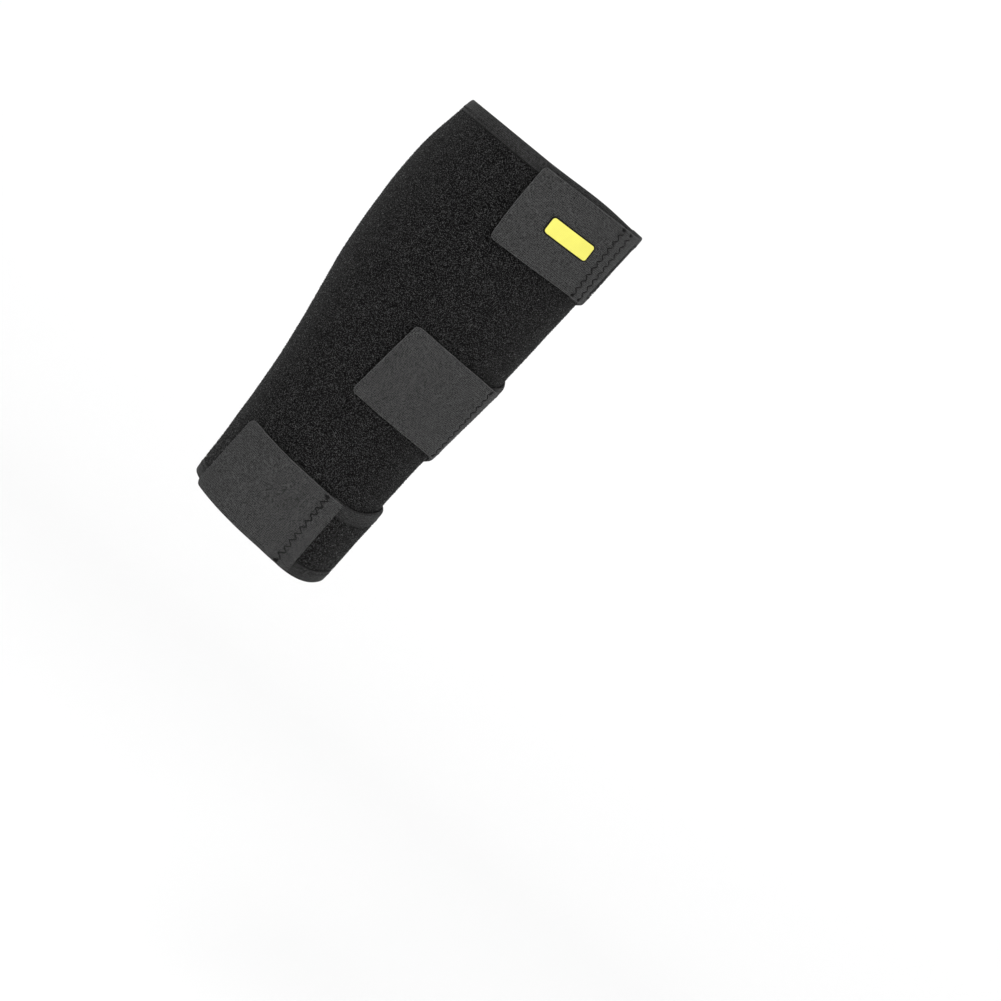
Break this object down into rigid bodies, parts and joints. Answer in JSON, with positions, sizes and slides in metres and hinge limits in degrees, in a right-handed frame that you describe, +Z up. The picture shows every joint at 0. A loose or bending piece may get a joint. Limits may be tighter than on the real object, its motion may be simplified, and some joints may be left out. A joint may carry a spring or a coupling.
{
  "type": "calf support wrap",
  "caption": "Soft calf support sleeve that wraps round the lower leg, with bound edges and smooth hook tabs on strap wings over the shin.",
  "frame": {"origin": "on the leg's axis at half the wrap's height", "axes": "+Z up the leg towards the knee, +X towards the shin, -Y towards the leg's outer side, where the tabs end"},
  "size_m": [0.1346, 0.1193, 0.2793],
  "materials": {
    "pile": "looped pile on neoprene, matt",
    "binding": "smooth stretch tape, matt",
    "smooth_cloth": "smooth fine knit, matt",
    "hook_tape": "hook tape",
    "label_cloth": "smooth woven label"
  },
  "bodies": {
    "root": {"calf_panel": "pile", "edge_tape": "binding", "upper_tab": "smooth_cloth", "middle_tab": "smooth_cloth", "lower_tab": "smooth_cloth", "upper_hook": "hook_tape", "middle_hook": "hook_tape", "lower_hook": "hook_tape", "label": "label_cloth"}
  },
  "joints": []
}
